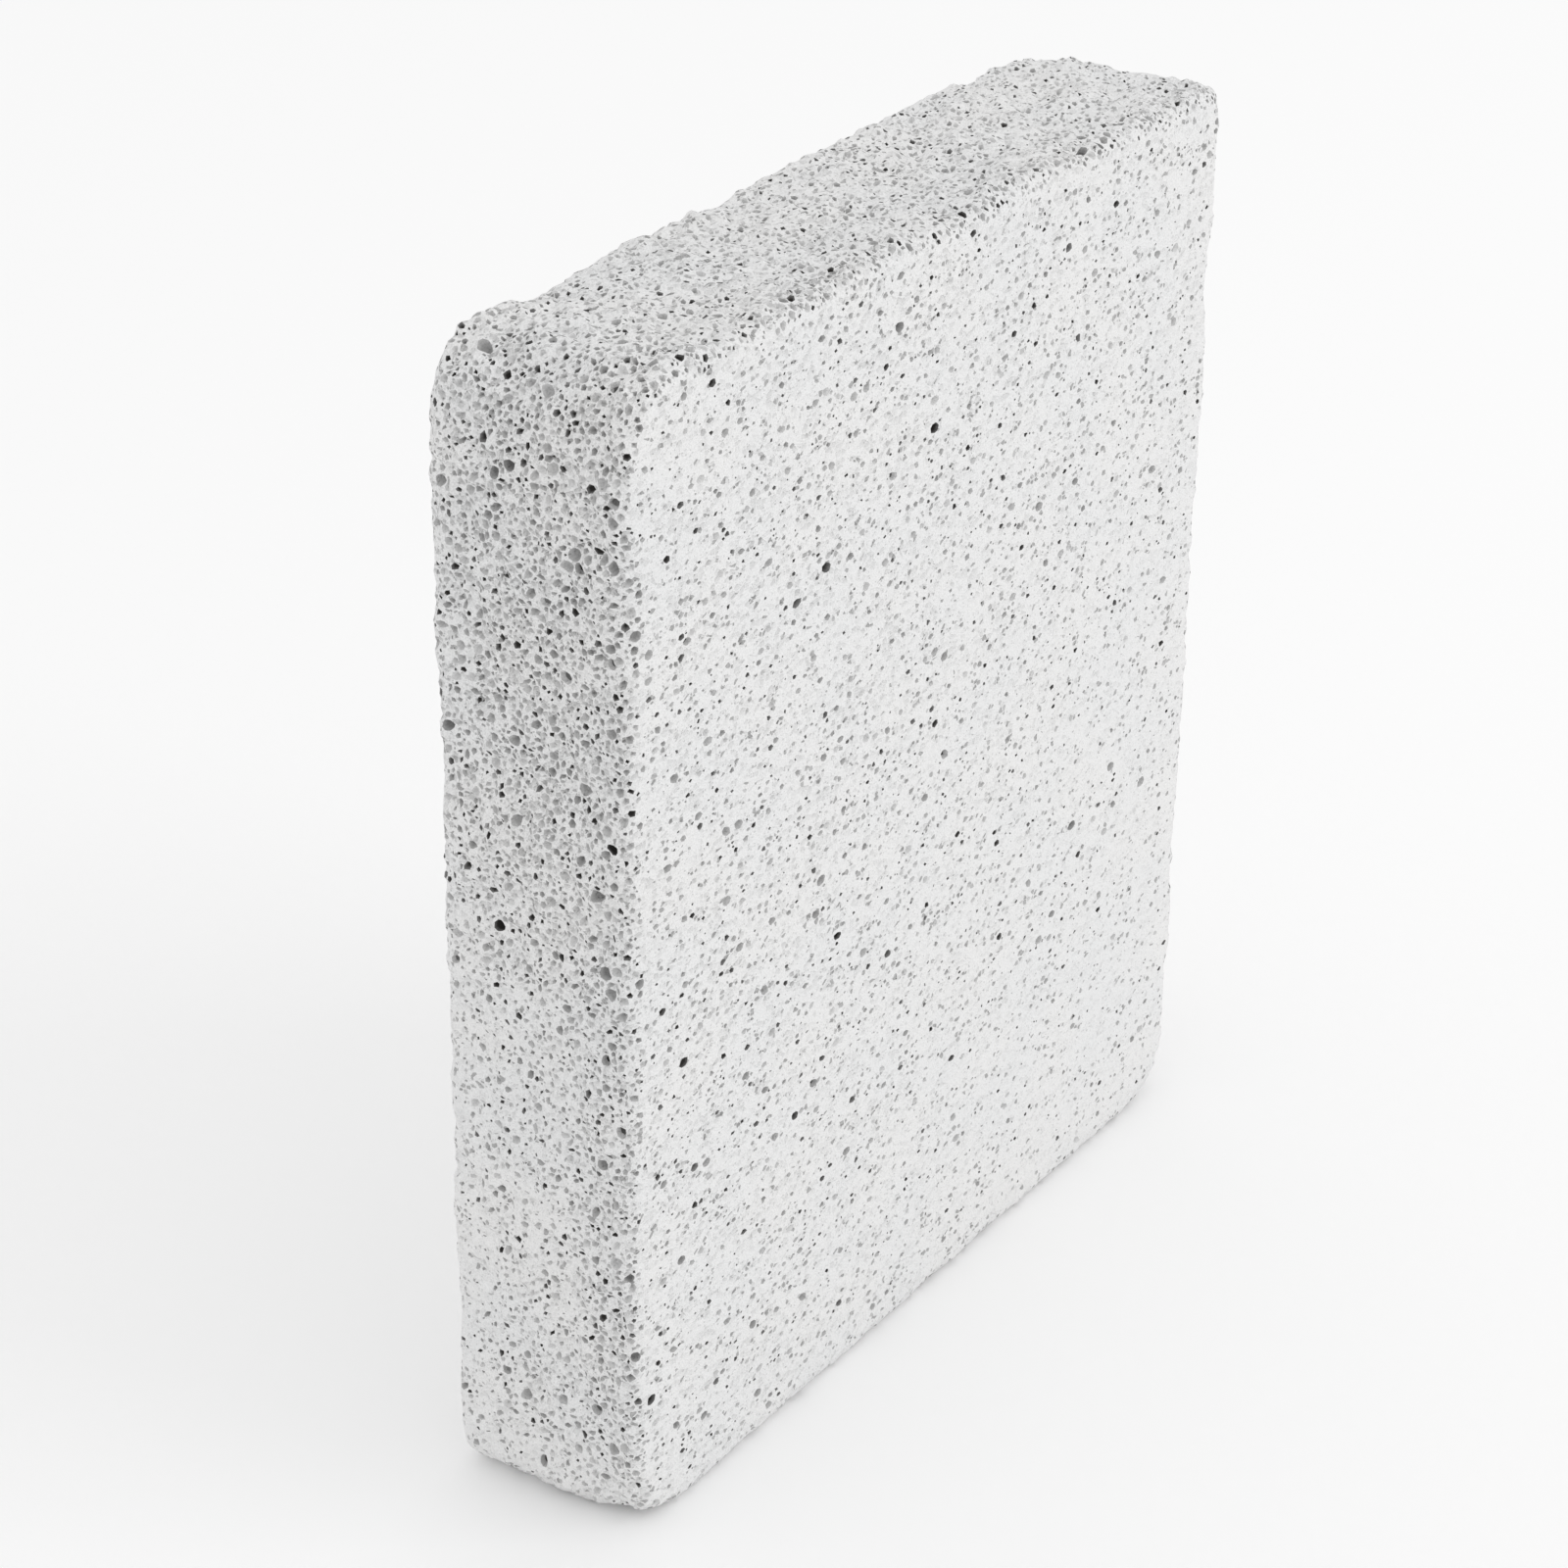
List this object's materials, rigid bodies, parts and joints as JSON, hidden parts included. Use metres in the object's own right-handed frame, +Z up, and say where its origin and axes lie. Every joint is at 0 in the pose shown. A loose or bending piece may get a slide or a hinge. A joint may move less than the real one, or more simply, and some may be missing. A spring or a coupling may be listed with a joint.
{
  "type": "pumice stone",
  "caption": "Upright rectangular slab of white foamed pumice with rounded corners, ground flat on its broad faces and open-celled on its narrow sides.",
  "frame": {"origin": "middle of the narrow lower side that the slab stands on", "axes": "+Z up along the slab's height, +X along its width to the right seen from the front, +Y through its thickness from the front broad face to the back one"},
  "size_m": [0.0867, 0.0186, 0.1004],
  "materials": {
    "pumice": "matt white-grey foamed stone: finely pitted ground faces, open round cells on the worn sides"
  },
  "bodies": {
    "root": {"pumice_stone": "pumice"}
  },
  "joints": []
}
